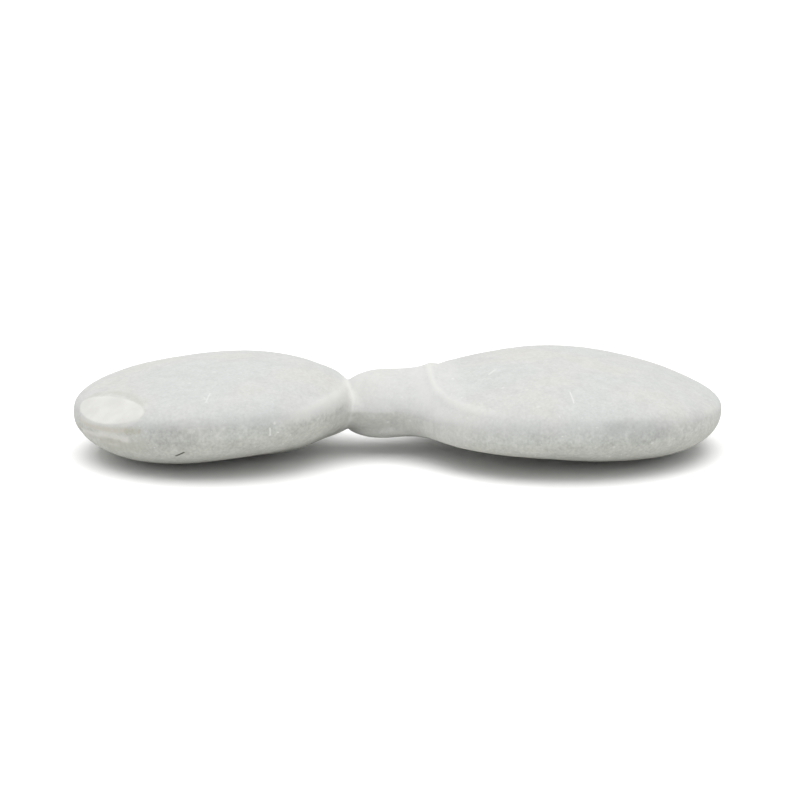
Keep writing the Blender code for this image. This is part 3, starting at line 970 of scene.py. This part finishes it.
scar_rim = drawn_line(SCAR_RIM_LINE, SCAR_RIM_HALF_WIDTH, 1.0)
colour = tint(colour, SCAR_EDGE_OLIVE, maths("MULTIPLY", scar_rim, SCAR_RIM_SHARE))

scar = look("scar")
scar_tone = noise(place_mm, 1.8, 3.0, 3.3)
cream = vector_maths("SCALE", SCAR_CREAM[:3], fade(scar_tone, 0.3, 0.7, 0.95, 1.04))
scar = maths("MAXIMUM", scar, drawn_line(SCAR_LOW_LINE, SCAR_LOW_HALF_WIDTH, SCAR_LOW_SHARE))

crushed = noise(place_mm, 0.55, 3.0, 7.7, roughness=0.65)
band = look("broken_band")
brown = fade(band, 0.12, 0.60, 0.0, BAND_BROWN_SHARE)
brown = maths("MAXIMUM", brown, drawn_line(BROWN_LINE, BROWN_HALF_WIDTH, 1.0))
# Painted highlight: a pale lip below the broken band, as if a ridge there caught the light.
lip_highlight = drawn_line(LIP_HIGHLIGHT_LINE, LIP_HIGHLIGHT_HALF_WIDTH, LIP_HIGHLIGHT_SHARE)
colour = tint(colour, BAND_BROWN, maths("MULTIPLY", brown, fade(crushed, 0.30, 0.60, 0.60, 1.0)))
colour = tint(colour, cream, scar)
dark_bits = maths("MULTIPLY", fade(crushed, 0.50, 0.66), fade(band, 0.30, 0.75))
colour = tint(colour, BAND_DARK, maths("MULTIPLY", dark_bits, DARK_BITS_SHARE))
dark_spot = maths("MULTIPLY", drawn_stroke(*DARK_SPOT, 1.0), fade(crushed, 0.35, 0.65, 0.25, 0.85))
colour = tint(colour, BAND_DARK, dark_spot)
colour = tint(colour, LIP_PAINTED_HIGHLIGHT, lip_highlight)

nick = drawn_stroke(*NICK_ENDS, NICK_HALF_WIDTH * 0.8, 1.0)
colour = tint(colour, NICK_DARK, nick)
feed(shader.inputs["Base Color"], colour)
print("nodes so far", len(nodes))

# %% [markdown]
# ## The sheen and the finest bumps
# Worn clay stone is almost matt, the broken face is duller still, and the rubbed crests shine
# a little more. The grain that is too fine for the mesh is a bump of some hundredths of a
# millimetre, so it catches the light without changing the shape.

# %% Roughness and bump
GRAIN_BUMP_MM = 0.018
SMOOTHEST, ROUGHEST = 0.74, 0.84
SCAR_ROUGHER, RUBBED_SMOOTHER = 0.08, 0.08
SHEEN = 0.35
COARSE_BUMP, BROKEN_BUMP, MARK_BUMP = 1.2, 3.0, 0.4

roughness = fade(mottles, 0.25, 0.75, SMOOTHEST, ROUGHEST)
roughness = maths("ADD", roughness, maths("MULTIPLY", look("scar"), SCAR_ROUGHER))
roughness = maths("SUBTRACT", roughness, maths("MULTIPLY", look("rubbed_and_lit_pale"), RUBBED_SMOOTHER))
feed(shader.inputs["Roughness"], roughness)
shader.inputs["Specular IOR Level"].default_value = SHEEN

bump = nodes.new("ShaderNodeBump")
bump.inputs["Strength"].default_value = 1.0
bump.inputs["Distance"].default_value = GRAIN_BUMP_MM * METRES_PER_MM
coarse = maths("MULTIPLY", noise(place_mm, 0.7, 3.0, 12.0), COARSE_BUMP)
broken = maths("MULTIPLY", look("broken_band"), maths("MULTIPLY", crushed, BROKEN_BUMP))
bump_height = maths("ADD", maths("ADD", grain, coarse), broken)
bump_height = maths("SUBTRACT", bump_height, maths("MULTIPLY", pale_marks, MARK_BUMP))
feed(bump.inputs["Height"], bump_height)
feed(shader.inputs["Normal"], bump.outputs["Normal"])
print("bump height for a strength of 1", GRAIN_BUMP_MM, "mm")

# %% [markdown]
# ## Put the stone in the model
# The new mesh stands for the imported stone, so it replaces that node and moves with the same
# body.

# %% The finished piece
thinned_mesh.polygons.foreach_set("use_smooth", [True] * len(thinned_mesh.polygons))
write_points(thinned_mesh, read_points(thinned_mesh) * METRES_PER_MM)
thinned_mesh.materials.clear()
thinned_mesh.materials.append(material)
stone = bpy.data.objects.new("worn_stone", thinned_mesh)
bpy.context.scene.collection.objects.link(stone)
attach(stone, "root")
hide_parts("stone")
packed_low, packed_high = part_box("stone")
packed_size = packed_high - packed_low
print("stands for a packed piece of", [round(value / METRES_PER_MM, 2) for value in packed_size])

# %% [markdown]
# ## The floor
# The stone lies on a plain white surface that is lit so strongly that it looks pure white. It
# is one large sheet, and the contact shadows on it show that the stone really rests there.

# %% A plain white floor
FLOOR_HALF_SIZE = 3.0
FLOOR_DROP = 0.00002
FLOOR_WHITE = (0.90, 0.90, 0.90, 1.0)

floor_mesh = bpy.data.meshes.new("floor")
corners = [(-1, -1), (1, -1), (1, 1), (-1, 1)]
corners = [(x * FLOOR_HALF_SIZE, y * FLOOR_HALF_SIZE, -FLOOR_DROP) for x, y in corners]
floor_mesh.from_pydata(corners, [], [(0, 1, 2, 3)])
floor = bpy.data.objects.new("floor", floor_mesh)
bpy.context.scene.collection.objects.link(floor)
floor_material = bpy.data.materials.new("white_floor")
floor_material.use_nodes = True
floor_shader = floor_material.node_tree.nodes["Principled BSDF"]
floor_shader.inputs["Base Color"].default_value = FLOOR_WHITE
floor_shader.inputs["Roughness"].default_value = 0.9
floor_shader.inputs["Specular IOR Level"].default_value = 0.0
floor_mesh.materials.append(floor_material)
print("floor", 2.0 * FLOOR_HALF_SIZE, "m wide")

# %% [markdown]
# ## The light
# One large soft light hangs above the stone, as in a small light tent, and a strong even glow
# comes from all round. The tops are bright, the sides fall off slowly, and the white floor sends
# some light back up under the stone.

# %% Soft studio light
TENT_LIGHT_SIZE = 0.9
TENT_LIGHT_POWER = 5.34
TENT_LIGHT_PLACE = Vector((0.0, -0.021, 0.60))
GLOW_COLOUR = (1.0, 1.0, 1.0, 1.0)
GLOW_STRENGTH = 0.80

light_data = bpy.data.lights.new("tent_light", "AREA")
light_data.shape = "SQUARE"
light_data.size = TENT_LIGHT_SIZE
light_data.energy = TENT_LIGHT_POWER
light = bpy.data.objects.new("tent_light", light_data)
bpy.context.scene.collection.objects.link(light)
light.location = TENT_LIGHT_PLACE
light.rotation_mode = "QUATERNION"
light.rotation_quaternion = TENT_LIGHT_PLACE.to_track_quat("Z", "Y")

glow = bpy.data.worlds.new("glow")
glow.use_nodes = True
glow.node_tree.nodes["Background"].inputs["Color"].default_value = GLOW_COLOUR
glow.node_tree.nodes["Background"].inputs["Strength"].default_value = GLOW_STRENGTH
bpy.context.scene.world = glow
bpy.context.scene.view_settings.view_transform = "Standard"
print("light", TENT_LIGHT_POWER, "W, glow", GLOW_STRENGTH)
